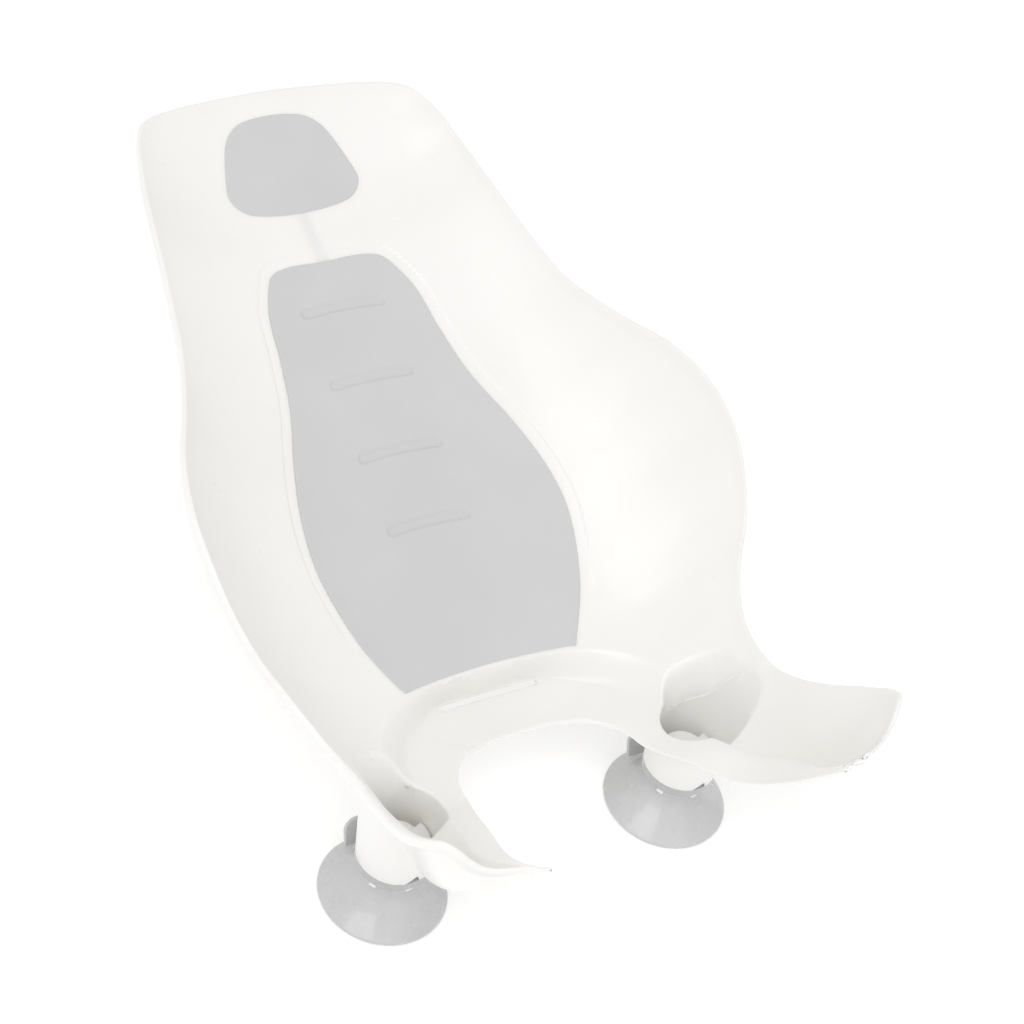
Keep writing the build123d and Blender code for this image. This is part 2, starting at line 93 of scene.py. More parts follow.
# half outlines of the pads
BACK_SIDE = [(0, 346), (24, 346), (38, 342), (45, 332), (52, 314), (56, 287), (63, 254), (77, 215), (85, 186),
             (88, 160), (85, 136), (76, 107), (60, 78)]
BACK_FOOT = [(60, 78), (48, 81), (25, 84), (0, 85)]
HEAD_EDGE = [(0, 443), (20, 441), (30, 436), (37, 427), (45, 404), (46, 396), (42, 389), (33, 384.5),
             (0, 382)]
BACK_SPINE, HEAD_SPINE = (112, 322), (408, 419)  # how far the pads' middle lines reach along y
GROOVE_YS = (316, 269, 222, 176)
GROOVE_REACH, GROOVE_BOW, GROOVE_FLAT, GROOVE_EDGE, GROOVE_DEEP = 26.2, 190.0, 2.2, 3.8, 1.45
SLOT_Y, SLOT_Z, SLOT_LONG, SLOT_WIDE, SLOT_SLANT, SLOT_DEEP = 74.8, 52.5, 70.0, 3.9, 0.8, 7.0
NOTCH = [(-5, -1.5), (5, -1.5), (5, -0.2), (1.9, 6.1), (1.1, 6.5), (0.7, 6.1), (-5, -0.2)]  # x, z
NOTCH_YS = (-12.0, -30.0)
COLLAR_EDGE = [(14.0, 28.6), (20.6, 28.6), (22.4, 31.3), (22.4, 37.1), (14.0, 37.1)]  # radius, z
CUP_R = 38.8
TAB_HALF, TAB_TALL, TAB_ROUND, TAB_MIDDLE, TAB_LEAN = 11.5, 17.0, 8.0, 8.0, 25.0
TAB_OUT, TAB_Z = 30.5, 9.6  # where a tab's root is, from the foot's axis and from the floor

# ---- details that only the visible model has -----------------------------------------------------
PAD_PROUD, PAD_DEEP, PAD_ROUND = 0.5, 1.5, 0.9
UNDER_PAD, UNDER_IN, UNDER_SOFT = 0.9, 1.0, 1.5  # the shell is lower beneath the back pad, within its outline
BAND_OUT, BAND_SOFT, BAND_DEEP = 8.0, 1.7, 0.8  # shallow ledge round the back pad
BAND_START, BAND_RISE = 92.0, 50.0  # where the ledge begins along y and how soon it is full
KNOB_Y, KNOB_R, KNOB_SQUASH = 352.0, 5.0, 1.1  # a round spot above the back pad that the ledge leaves out
# the lip that goes down round the rim
LIP_OUT, LIP_START, LIP_DROP, LIP_ROOT, LIP_ROUND = 3.0, 1.0, 7.0, 4.0, 1.15
EDGE_ROUND, END_ROUND = 1.2, 1.05  # rounding of the U cut-out's edge and of the wings' ends
EDGE_IN = 0.35  # how far the U edge's outermost points are drawn in
TIP_FADE, TIP_DROP, TIP_OUT = 4.0, 5.4, 0.6  # the lip gets smaller over the last rows of RAYS
FILLET, FILLET_OPEN, FILLET_RISE = 2.6, 7.0, 3.0  # turn into a front leg's bore
MOUTH_Z = 80.0  # about where the front legs' bores meet the upper surface
IN_WALL = 0.55  # how deep within the wall a leg's outside ends, as a share of it
BORE_HEIGHTS = (34.0, 60.0, 90.0, 120.0, 170.0)

# how finely the visible surfaces are divided
ALONG, UNDER, UNDER_STOP = 170, 80, 4.2  # points along each ray above and below, and the lower ones' end
LEG_POINTS, LEG_ROWS = 144, 16
BACK_RINGS, HEAD_RINGS, UNDER_RINGS = 96, 30, 9
CROWD_EVEN, CROWD_LEDGE, CROWD_MOUTH, CROWD_GUTTER = 0.3, 1.0, 1.0, 0.55  # weights of points along a ray
GUTTER_REACH, GUTTER_RAY, GUTTER_SOFT = 75.0, 76.0, 15.0  # how far along a ray the gutter's weight lasts
SLOPE_STEP, NORMAL_STEP = 0.4, 0.15
ON_TOP, SAME_WAY = 0.03, 0.85  # what counts as on the upper surface, and as facing the way it does


def table(rows, t):
    """A cubic through the rows' (t, value) pairs, its slope at each taken from the neighbours."""
    ts, vs = (np.array([row[k] for row in rows], float) for k in (0, 1))
    slopes = np.gradient(vs)
    slopes[1:-1] = (vs[2:] - vs[:-2]) / (ts[2:] - ts[:-2])
    slopes[0], slopes[-1] = (vs[1] - vs[0]) / (ts[1] - ts[0]), (vs[-1] - vs[-2]) / (ts[-1] - ts[-2])
    t = np.clip(t, ts[0], ts[-1])
    i = np.clip(np.searchsorted(ts, t, side="right") - 1, 0, len(ts) - 2)
    h = ts[i + 1] - ts[i]
    s = (t - ts[i]) / h
    start = (1 + 2 * s) * (1 - s) ** 2 * vs[i] + s * (1 - s) ** 2 * h * slopes[i]
    return start + s * s * (3 - 2 * s) * vs[i + 1] + s * s * (s - 1) * h * slopes[i + 1]


def ease(t):
    t = np.clip(t, 0.0, 1.0)
    return t * t * (3 - 2 * t)


def bowl_z(x, y):
    """The seat's cross curve, from the spine up to the rim."""
    low = table(SPINE_Z, y)
    side = np.minimum(np.abs(x) / table(RIM_X, y), 1.0)
    return low + (table(RIM_Z, y) - low) * side**BOWL_POWER


def gutter_depth(x, y):
    """The step down round the U cut-out, and the slope from there to the cut-out's edge."""
    up = np.maximum(y - U_CENTRE_Y, 0.0)
    angle = np.degrees(np.arctan2(up, np.abs(x)))
    r = np.hypot(up, x)
    edge, foot, crest = (table(rows, angle) for rows in (U_EDGE_R, FOOT_R, CREST_R))
    deep, shallow = table(FOOT_DEPTH, angle), table(EDGE_DEPTH, angle)
    outside = deep * ease((crest - r) / (crest - foot))
    inside = deep + (shallow - deep) * np.minimum((foot - r) / (foot - edge), 1.0)
    return ease((y - GUTTER_START) / GUTTER_RISE) * np.where(r >= foot, outside, inside)


def trough_depth(x, y):
    """The hollow along a wing, in front of a front leg."""
    off = np.abs(x) - table(TROUGH_X, y)
    wide = np.where(off > 0, TROUGH_OUTER, TROUGH_INNER)
    across = np.maximum(1 - (off / wide) ** 2, 0.0)
    return table(TROUGH_DEPTH, y) * across**TROUGH_POWER


def open_side(out, back):
    """1 behind and outside a front leg, 0 before and inside it, from a direction's two cosines."""
    return ease((back + 0.2) / 0.9) * ease((out + 0.75) / 0.6)


def dip_depth(x, y):
    """The slope down into a front leg from behind and from outside it."""
    out, back = np.abs(x) - DIP_X, y - DIP_Y
    r = np.maximum(np.hypot(out, back), 0.001)
    share = open_side(out / r, back / r) * (1 - DIP_SIDE * ease((out / r - 0.6) / 0.4))
    reach = DIP_NEAR + (DIP_FAR - DIP_NEAR) * share
    return DIP_DEEP * share * ease((reach - r) / (reach - DIP_CORE))


def plain_z(x, y):
    """The CAD model's upper surface."""
    return bowl_z(x, y) - gutter_depth(x, y) - trough_depth(x, y) - dip_depth(x, y)


def cone(z, inward):
    """A front leg's radius and its axis's offset outward and along y at a height."""
    f = (z - LEG_END) / (FLARE_Z - LEG_END)
    return LEG_R + LEG_FLARE * f - inward, LEG_LEAN * f, LEG_BACK * f


def bore_gap(x, y, z):
    """How far outside a front leg's bore a point is, and its direction's cosines outward and along y."""
    radius, out, back = cone(z, LEG_WALL)
    dx, dy = np.abs(x) - LEG_X - out, y - back
    r = np.hypot(dx, dy)
    return r - radius, dx / np.maximum(r, 1e-6), dy / np.maximum(r, 1e-6)


def bore_fillet(x, y, z):
    """How much the surface drops as it turns down into a front leg's bore, softly behind and outside it."""
    gap, out, back = bore_gap(x, y, z - FILLET_RISE)
    fillet = FILLET + FILLET_OPEN * open_side(out, back)
    d = np.clip(gap, 0.0, fillet)
    return fillet - np.sqrt(np.maximum(fillet**2 - (fillet - d) ** 2, 0.0))


def curve(points, step, closed=False):
    """Evenly spaced points on a smooth line through the given ones."""
    pts = np.array(points, float)
    if closed:
        pts = np.vstack([pts[-3:], pts, pts[:4]])
    lengths = np.concatenate([[0], np.cumsum(np.hypot(*np.diff(pts, axis=0).T))])
    fine = np.linspace(0, lengths[-1], 6000)
    xy = np.stack([table(list(zip(lengths, pts[:, k])), fine) for k in (0, 1)], axis=1)
    if closed:
        xy = xy[(fine >= lengths[3]) & (fine <= lengths[len(pts) - 4])]
    run = np.concatenate([[0], np.cumsum(np.hypot(*np.diff(xy, axis=0).T))])
    count = int(round(run[-1] / step / 2)) * 2
    at = np.linspace(0, run[-1], count + 1)[:-1]
    return np.stack([np.interp(at, run, xy[:, k]) for k in (0, 1)], axis=1)


def mirrored(points):
    """A half run that starts at x = 0, with its mirror image before it."""
    return [(-x, y) for x, y in points[:0:-1]] + list(points)


def back_outline(step):
    side = curve(mirrored(BACK_SIDE), step)
    foot = curve(BACK_FOOT[:-1] + [(-x, y) for x, y in BACK_FOOT[::-1]], step)
    return np.vstack([side, foot])


def head_outline(step):
    return curve(HEAD_EDGE + [(-x, y) for x, y in HEAD_EDGE[-2:0:-1]], step, closed=True)


def outside(outline, x, y):
    """Distance of points from a closed outline, less than zero inside it."""
    x, y = np.ravel(x), np.ravel(y)
    a, b = outline, np.roll(outline, -1, axis=0)
    result = np.empty(len(x))
    for first in range(0, len(x), 4000):
        px, py = x[first:first + 4000, None], y[first:first + 4000, None]
        ab = b - a
        s = np.clip(((px - a[:, 0]) * ab[:, 0] + (py - a[:, 1]) * ab[:, 1]) / (ab**2).sum(1), 0, 1)
        near = np.hypot(px - a[:, 0] - s * ab[:, 0], py - a[:, 1] - s * ab[:, 1]).min(1)
        upward = (a[:, 1] > py) != (b[:, 1] > py)
        cut = a[:, 0] + (py - a[:, 1]) * ab[:, 0] / np.where(ab[:, 1] == 0, 1e-9, ab[:, 1])
        inside = (upward & (px < cut)).sum(1) % 2
        result[first:first + 4000] = np.where(inside, -near, near)
    return result


BAND = back_outline(4.0)


def top_z(x, y):
    """The visible upper surface: with the ledge round the back pad and the turn into the bores."""
    z = plain_z(x, y)
    gap = outside(BAND, x, y).reshape(np.shape(x))
    knob = np.exp(-((np.hypot(x, (y - KNOB_Y) * KNOB_SQUASH) / KNOB_R) ** 4))
    start = ease((y - BAND_START) / BAND_RISE)
    z = z - BAND_DEEP * ease((BAND_OUT - gap) / BAND_SOFT) * start * (1 - knob)
    z = z - UNDER_PAD * ease((-UNDER_IN - gap) / UNDER_SOFT)
    return z - bore_fillet(x, y, plain_z(x, y))


def place(points):
    """Millimetres from the front legs' axis to the frame's metres."""
    points = np.asarray(points, float)
    return (points + np.array([0, LEG_Y, 0])) / 1000.0


def add_mesh(name, verts, faces, sharp=35):
    mesh = bpy.data.meshes.new(name)
    mesh.from_pydata([tuple(v) for v in verts], [], [tuple(int(i) for i in f) for f in faces])
    mesh.validate()
    mesh.update()
    obj = bpy.data.objects.new(name, mesh)
    bpy.context.scene.collection.objects.link(obj)
    shade(obj, sharp)
    return obj


def shade(obj, sharp=35):
    mesh = obj.data
    mesh.polygons.foreach_set("use_smooth", [True] * len(mesh.polygons))
    mesh.set_sharp_from_angle(angle=math.radians(sharp))
    mesh.update()


def grid_faces(rows, cols, close_rows=False, close_cols=False):
    """Quads of a grid of points that is numbered row by row."""
    r = np.arange(rows if close_rows else rows - 1)
    c = np.arange(cols if close_cols else cols - 1)
    r, c = (a.ravel() for a in np.meshgrid(r, c, indexing="ij"))
    r2, c2 = (r + 1) % rows, (c + 1) % cols
    return np.stack([r * cols + c, r * cols + c2, r2 * cols + c2, r2 * cols + c], axis=1)


# ---- the shell -----------------------------------------------------------------------------------
def ray_places():
    """The visible rays from the right wing's tip round the head to the left wing's, and a share that
    falls to 0 at the tips."""
    half = [0.0]
    for k, count in enumerate(RAY_FINE):
        half += [k + (i + 1) / count for i in range(count)]
    t = np.array([-v for v in half[:0:-1]] + half)
    last = len(RAYS) - 1
    columns = []
    for k, sign in ((0, -1), (1, 1), (2, -1), (3, 1)):
        right = [(-j, sign * RAYS[j][k]) for j in range(last, 0, -1)]
        left = [(j, RAYS[j][k]) for j in range(last + 1)]
        columns.append(table(right + left, t))
    tip = ease((last - np.abs(t)) / TIP_FADE)
    return np.stack(columns, axis=1), tip


def evened(rows, reach=12):
    """Each ray's places, averaged with those of the rays beside it."""
    wide = np.pad(rows, ((reach, reach), (0, 0)), mode="edge")
    return np.mean([wide[k:k + len(rows)] for k in range(2 * reach + 1)], axis=0)


def crowded(ray, length, end, count):
    """Distances along one ray, closer together at the ledge, the bores' mouths and the gutter."""
    s = np.linspace(EDGE_ROUND, end, 500)
    x = ray[0] + (ray[2] - ray[0]) * s / length
    y = ray[1] + (ray[3] - ray[1]) * s / length
    gap = outside(BAND, x, y)
    bore, _, _ = bore_gap(x, y, MOUTH_Z)
    ledge = np.exp(-((gap - BAND_OUT + 0.8) / 2.2) ** 2)
    mouth = np.exp(-((bore - 2) / 6) ** 2)
    gutter = ease((GUTTER_REACH * min(1.0, length / GUTTER_RAY) - s) / GUTTER_SOFT)
    weight = CROWD_EVEN + CROWD_LEDGE * ledge + CROWD_MOUTH * mouth + CROWD_GUTTER * gutter
    run = np.concatenate([[0], np.cumsum((weight[1:] + weight[:-1]) / 2)])
    return np.interp(np.linspace(0, run[-1], count), run, s)


def ray_distances(rays, lengths, margin, count):
    """Distances along every ray, each ray's evened with those of the rays beside it."""
    whole = (lengths - margin)[:, None] - EDGE_ROUND
    rows = np.array([crowded(r, n, n - margin, count) for r, n in zip(rays, lengths)])
    return EDGE_ROUND + evened((rows - EDGE_ROUND) / whole) * whole


def surface_normals(x, y):
    """Unit normals of the CAD model's upper surface."""
    e = SLOPE_STEP
    zx = (plain_z(x + e, y) - plain_z(x - e, y)) / (2 * e)
    zy = (plain_z(x, y + e) - plain_z(x, y - e)) / (2 * e)
    n = np.stack([-zx, -zy, np.ones_like(zx)], axis=-1)
    return n / np.linalg.norm(n, axis=-1, keepdims=True)


def arc(cs, cz, radius, start, stop, count):
    """Points (distance, height) on an arc, angles in degrees."""
    a = np.radians(np.linspace(start, stop, count))
    return np.stack([cs + radius * np.cos(a), cz + radius * np.sin(a)], axis=1)


def lip_points(length, tip, s0, z0, slope):
    """The rim's lip as (distance, height): over the edge, down, round below and back to the wall."""
    end = length + LIP_OUT * (TIP_OUT + (1 - TIP_OUT) * tip)
    foot = z0 - (LIP_DROP - (LIP_DROP - TIP_DROP) * (1 - tip))
    root = z0 - LIP_ROOT
    radius = (end - s0) / (1 + math.sin(slope))
    roll = arc(s0 + radius * math.sin(slope), z0 - radius * math.cos(slope), radius,
               90 + math.degrees(slope), 0, 12)[1:]
    low = foot + LIP_ROUND
    fall = [(end, low + f * (roll[-1, 1] - low)) for f in (0.66, 0.33)]
    turn = arc(end - LIP_ROUND, low, LIP_ROUND, 0, -180, 9)
    inner = end - 2 * LIP_ROUND
    rise = [(inner, low + f * (root - low)) for f in (0.4, 0.8)]
    rise += [(inner - 0.5, root + 0.2), (inner - 1.5, root + 0.25)]
    return np.vstack([roll, fall, turn, rise])


def skin_loops():
    """One closed loop of points across the wall for each ray."""
    rays, tip = ray_places()
    lengths = np.hypot(rays[:, 2] - rays[:, 0], rays[:, 3] - rays[:, 1])
    over = ray_distances(rays, lengths, LIP_START, ALONG)
    below = ray_distances(rays, lengths, UNDER_STOP, UNDER)
    way = (rays[:, 2:] - rays[:, :2]) / lengths[:, None]

    def plan(s):
        return rays[:, None, 0] + way[:, None, 0] * s, rays[:, None, 1] + way[:, None, 1] * s

    def raised(j, sz):
        s, z = sz.T
        return np.column_stack([rays[j, 0] + way[j, 0] * s, rays[j, 1] + way[j, 1] * s, z])

    x, y = plan(over)
    top = np.stack([x, y, top_z(x, y)], axis=-1)
    x, y = plan(below)
    z = plain_z(x, y)
    square = surface_normals(x, y)
    square[..., 1] *= tip[:, None]
    low = np.stack([x, y, z - bore_fillet(x, y, z)], axis=-1) - WALL * square
    loops = []
    for j, length in enumerate(lengths):
        slope = math.atan2(top[j, -1, 2] - top[j, -4, 2], over[j, -1] - over[j, -4])
        lip = lip_points(length, tip[j], over[j, -1], top[j, -1, 2], slope)
        z1, z2 = top[j, 0, 2], low[j, 0, 2]
        edge = np.array([(EDGE_IN, z2 + EDGE_IN), (0, z2 + EDGE_ROUND),
                         (0, z1 - EDGE_ROUND), (EDGE_IN, z1 - EDGE_IN)])
        loops.append(np.vstack([top[j], raised(j, lip), low[j, ::-1], raised(j, edge)]))
    loops = np.array(loops)
    loops[..., 1] += END_ROUND * (1 - tip)[:, None]
    return loops, way


def rounded_end(loop, way, outward):
    """Loops that close in over the end of the wall, square to the last ray."""
    side = np.array([-way[1], way[0], 0.0]) * outward
    along = np.array([way[0], way[1], 0.0])
    s, z = loop @ along, loop[:, 2]
    ds, dz = np.roll(s, -1) - np.roll(s, 1), np.roll(z, -1) - np.roll(z, 1)
    size = np.maximum(np.hypot(ds, dz), 1e-6)
    inner = along * (dz / size)[:, None] - np.array([0, 0, 1.0]) * (ds / size)[:, None]
    area = np.sum(s * np.roll(z, -1) - np.roll(s, -1) * z)
    inner = -inner if area > 0 else inner
    steps = []
    for degrees in (25, 50, 75, 90):
        a = math.radians(degrees)
        steps.append(loop + inner * END_ROUND * (1 - math.cos(a)) + side * END_ROUND * math.sin(a))
    return steps


def build_skin():
    """The shell without its legs: the loops joined into one closed solid."""
    loops, way = skin_loops()
    first = rounded_end(loops[0], way[0], 1)[::-1]
    last = rounded_end(loops[-1], way[-1], -1)
    loops = np.array(first + list(loops) + last)
    rows, cols = loops.shape[:2]
    faces = [tuple(f) for f in grid_faces(rows, cols, close_cols=True)]
    faces += [tuple(range(cols)), tuple(range((rows - 1) * cols, rows * cols))[::-1]]
    return add_mesh("bath_shell", place(loops.reshape(-1, 3)), faces)


def closed_rings(rings, top=None):
    """A closed solid's vertices and faces from rings of points, lowest first."""
    rows, cols = len(rings), len(rings[0])
    if top is None:
        top = np.mean(rings[-1], axis=0)
    verts = np.vstack([*rings, [np.mean(rings[0], axis=0)], [top]])
    faces = [tuple(f) for f in grid_faces(rows, cols, close_cols=True)]
    low, high = rows * cols, rows * cols + 1
    faces += [(low, (i + 1) % cols, i) for i in range(cols)]
    last = (rows - 1) * cols
    faces += [(high, last + i, last + (i + 1) % cols) for i in range(cols)]
    return verts, faces


def ring(side, z, inward):
    """A ring of points on the leg's outer or inner cone; z may differ from point to point."""
    radius, out, back = cone(z, inward)
    a = np.linspace(0, 2 * math.pi, LEG_POINTS, endpoint=False)
    x = side * (LEG_X + out + radius * np.cos(a))
    return np.column_stack([x, back + radius * np.sin(a), np.ones(LEG_POINTS) * z])


def leg_solid(side):
    """The outside of a front leg, closed within the shell's wall."""
    height = np.full(LEG_POINTS, 100.0)
    for _ in range(12):  # the cone leans, so its height at the wall is found step by step
        points = ring(side, height, 0.0)
        height = top_z(points[:, 0], points[:, 1]) - WALL * IN_WALL
    rings = [ring(side, LEG_END + (height - LEG_END) * f, 0.0) for f in np.linspace(0, 1, LEG_ROWS)]
    rings[0][:, 2] = LEG_END
    for inward in (0.8, 1.6, 2.4, 3.4):
        points = ring(side, height, inward)
        points[:, 2] = top_z(points[:, 0], points[:, 1]) - WALL * IN_WALL
        rings.append(points)
    return closed_rings(rings, top=[side * (LEG_X + 3), 0, MOUTH_Z - 2])


def join(parts):
    """The vertices and faces of several solids as those of one."""
    verts, faces, first = [], [], 0
    for part_verts, part_faces in parts:
        verts.append(part_verts)
        faces += [tuple(i + first for i in f) for f in part_faces]
        first += len(part_verts)
    return np.vstack(verts), faces


def fixed_normals(obj, merge=None):
    """Turns every face outward, and first joins points that are within a distance, in metres."""
    work = bmesh.new()
    work.from_mesh(obj.data)
    if merge:
        bmesh.ops.remove_doubles(work, verts=work.verts, dist=merge)
    bmesh.ops.recalc_face_normals(work, faces=work.faces)
    work.to_mesh(obj.data)
    work.free()


def slot_solid():
    """The long drain slot, with round ends and slanted through the wall."""
    reach = SLOT_LONG / 2 - SLOT_WIDE / 2
    a = np.radians(np.linspace(-90, 90, 13))
    right = np.column_stack([reach + SLOT_WIDE / 2 * np.cos(a), SLOT_Y + SLOT_WIDE / 2 * np.sin(a)])
    x, y = np.vstack([right, (right * [-1, 1])[::-1]]).T
    rings = []
    for up in (-SLOT_DEEP, SLOT_DEEP):
        rings.append(np.column_stack([x, y - SLOT_SLANT * up, np.full(len(x), SLOT_Z + up)]))
    return closed_rings(rings)


def notch_solid(side):
    """The small pointed notch in the front of a leg's lower rim."""
    outline = [(side * LEG_X + x, LEG_END + z) for x, z in NOTCH]
    return closed_rings([np.array([(x, y, z) for x, z in outline]) for y in NOTCH_YS])


def carve(obj, other, how):
    """Joins a helper solid to a piece, or cuts it away, and removes the helper."""
    for o in (obj, other):
        fixed_normals(o)
    step = obj.modifiers.new(how, "BOOLEAN")
    step.operation, step.solver, step.object = how, "MANIFOLD", other
    graph = bpy.context.evaluated_depsgraph_get()
    mesh = bpy.data.meshes.new_from_object(obj.evaluated_get(graph))
    obj.modifiers.clear()
    old, obj.data = obj.data, mesh
    bpy.data.meshes.remove(old)
    bpy.data.objects.remove(other)


def helper(name, parts):
    verts, faces = join(parts)
    return add_mesh(name, place(verts), faces)


def read_mesh(items, name, width, kind=float):
    """One attribute of a mesh's parts as an array."""
    values = np.empty(len(items) * width, kind)
    items.foreach_get(name, values)
    return values.reshape(-1, width) if width > 1 else values


def formula_normals(obj):
    """Shades the upper surface by its own formula, so that small joined faces don't show."""
    mesh = obj.data
    x, y, z = (read_mesh(mesh.vertices, "co", 3) * 1000.0 - np.array([0, LEG_Y, 0])).T
    near = np.abs(z - top_z(x, y)) < ON_TOP
    x, y, e = x[near], y[near], NORMAL_STEP
    across = (top_z(x + e, y) - top_z(x - e, y)) / (2 * e)
    along = (top_z(x, y + e) - top_z(x, y - e)) / (2 * e)
    found = np.stack([-across, -along, np.ones_like(x)], axis=1)
    normals = np.zeros((len(near), 3))
    normals[near] = found / np.linalg.norm(found, axis=1, keepdims=True)
    wanted = normals[read_mesh(mesh.loops, "vertex_index", 1, int)]
    sizes = read_mesh(mesh.polygons, "loop_total", 1, int)
    faces = np.repeat(read_mesh(mesh.polygons, "normal", 3), sizes, axis=0)
    wanted[(wanted * faces).sum(axis=1) < SAME_WAY] = 0.0
    mesh.normals_split_custom_set([tuple(n) for n in wanted])


def build_shell():
    """The skin with the front legs joined to it, and the bores, the slot and the notches cut."""
    shell = build_skin()
    carve(shell, helper("legs", [leg_solid(1), leg_solid(-1)]), "UNION")
    bores = [closed_rings([ring(side, z, LEG_WALL) for z in BORE_HEIGHTS]) for side in (1, -1)]
    carve(shell, helper("cuts", bores + [slot_solid()]), "DIFFERENCE")
    carve(shell, helper("notches", [notch_solid(1), notch_solid(-1)]), "DIFFERENCE")
    shell.data.name = "bath_shell"
    shade(shell, 38)
    formula_normals(shell)
    return shell


# ---- the pads ------------------------------------------------------------------------------------
def groove_depth(x, y):
    """The back pad's four shallow grooves, each an arc with round ends."""
    deep = np.zeros(np.shape(x))
    for middle in GROOVE_YS:
        cy = middle - GROOVE_BOW
        across = np.hypot(x, y - cy) - GROOVE_BOW
        along = np.maximum(np.abs(np.arctan2(x, y - cy)) * GROOVE_BOW - GROOVE_REACH, 0.0)
        off = np.hypot(across, along)
        deep = np.maximum(deep, 1 - ease((off - GROOVE_FLAT) / (GROOVE_EDGE - GROOVE_FLAT)))
    return GROOVE_DEEP * deep


def build_pad(name, outline, spine, rings, grooved):
    """A soft pad with a rounded edge: rings from its outline in to a line along its middle."""
    inward = np.roll(outline, -1, axis=0) - np.roll(outline, 1, axis=0)
    inward = np.stack([-inward[:, 1], inward[:, 0]], axis=1) / np.hypot(*inward.T)[:, None]
    centre = outline.mean(axis=0)
    if np.sum((centre - outline) * inward) < 0:
        inward = -inward
    middle = np.stack([np.zeros(len(outline)), np.clip(outline[:, 1], *spine)], axis=1)
    layers = []
    for a in np.radians([0, 15, 35, 55, 75, 90]):
        at = outline + inward * PAD_ROUND * (1 - math.cos(a))
        layers.append(np.column_stack([at, plain_z(*at.T) + PAD_PROUD - PAD_ROUND * (1 - math.sin(a))]))
    start = layers[-1][:, :2]
    for f in np.linspace(0, 1, rings)[1:]:
        at = start + (middle - start) * f
        z = plain_z(*at.T) + PAD_PROUD
        layers.append(np.column_stack([at, z - groove_depth(*at.T) if grooved else z]))
    under = []
    for f in np.linspace(1, 0, UNDER_RINGS):
        at = outline + (middle - outline) * f
        under.append(np.column_stack([at, plain_z(*at.T) - PAD_DEEP]))
    layers = under + layers
    verts = place(np.vstack(layers))
    pad = add_mesh(name, verts, grid_faces(len(layers), len(outline), close_cols=True), 60)
    fixed_normals(pad, merge=2e-5)
    shade(pad, 60)
    return pad


# ---- feet ----------------------------------------------------------------------------------------
def soft_corners(points, radius):
    """A closed outline with each corner turned by a small arc."""
    pts, out = np.array(points, float), []
    for before, here, after in zip(np.roll(pts, 1, axis=0), pts, np.roll(pts, -1, axis=0)):
        a, b = before - here, after - here
        la, lb = np.linalg.norm(a), np.linalg.norm(b)
        cut = min(radius, la * 0.45, lb * 0.45)
        p, q = here + a / la * cut, here + b / lb * cut
        for t in np.linspace(0, 1, 5):  # a quadratic curve from p to q
            out.append((1 - t) ** 2 * p + 2 * t * (1 - t) * here + t * t * q)
    return np.array(out)


def turned(name, x, y, profile, wave=0.0, count=128, sharp=45):
    """A solid turned about an upright axis from (radius, height) points, its edge a little wavy."""
    r, z = profile.T
    verts = []
    for angle in np.linspace(0, 2 * math.pi, count, endpoint=False):
        lift = wave * (1 + math.sin(3 * angle + x)) * (r / CUP_R) ** 6 * np.clip(z / 1.2, 0, 1)
        verts.append(np.column_stack([x + r * math.cos(angle), y + r * math.sin(angle), z + lift]))
    faces = grid_faces(count, len(profile), close_rows=True, close_cols=True)
    obj = add_mesh(name, place(np.vstack(verts)), faces, sharp)
    fixed_normals(obj, merge=1e-6)
    shade(obj, sharp)
    return obj


def cup_profile():
    """A suction cup's outline as (radius, height): cone, neck, hollow and rim."""
    cone_line = curve([(38.3, 1.7), (34, 5), (27, 10.5), (20, 17), (16.5, 21.5), (15.6, 25.6)], 0.7)
    neck = [(15.3, 26.1), (14.9, 26.3), (6.2, 26.3), (6.0, 26.6), (6.0, 37.6), (5.6, 38.0), (0, 38.0)]
    hollow = curve([(0, 14.5), (14, 12), (24, 7.5), (32, 3.4), (37.0, 0.35)], 1.2)
    rim = [(37.4, 0.0), (38.4, 0.0), (38.75, 0.3), (38.85, 0.8), (38.75, 1.3)]
    return np.vstack([cone_line, neck, hollow, rim])


def build_tab(name, x, y):
    """A flap that leans outward, rounded at its upper corners and along its edges."""
    level = TAB_TALL - TAB_ROUND
    outline = [(-TAB_HALF, 0.0), (TAB_HALF, 0.0)]
    for side, start in ((1, 0), (-1, 90)):
        cx = side * (TAB_HALF - TAB_ROUND)
        for a in np.radians(np.linspace(start, start + 90, 10)):
            outline.append((cx + TAB_ROUND * math.cos(a), level + TAB_ROUND * math.sin(a)))
    outline = np.array(outline)
    inner = outline - np.array([0, TAB_MIDDLE])
    inner = -inner / np.linalg.norm(inner, axis=1)[:, None]
    lean = math.radians(TAB_LEAN)
    rings = []
    for d, inset in ((-1.4, 0.9), (-1.3, 0.35), (-0.9, 0.0), (0.9, 0.0), (1.3, 0.35), (1.4, 0.9)):
        at = outline + inner * inset
        up, off = at[:, 1], np.full(len(at), d)
        back = y + TAB_OUT + up * math.sin(lean) + off * math.cos(lean)
        height = TAB_Z + up * math.cos(lean) - off * math.sin(lean)
        rings.append(np.column_stack([x + at[:, 0], back, height]))
    verts, faces = closed_rings(rings)
    obj = add_mesh(name, place(verts), faces, 50)
    fixed_normals(obj)
    return obj


# ---- materials -----------------------------------------------------------------------------------
def new_material(name, colour, roughness, **more):
    material = bpy.data.materials.new(name)
    material.use_nodes = True
    shader = material.node_tree.nodes["Principled BSDF"]
    shader.inputs["Base Color"].default_value = (*colour, 1)
    shader.inputs["Roughness"].default_value = roughness
    for socket, value in more.items():
        shader.inputs[socket.replace("_", " ")].default_value = value
    return material, material.node_tree, shader


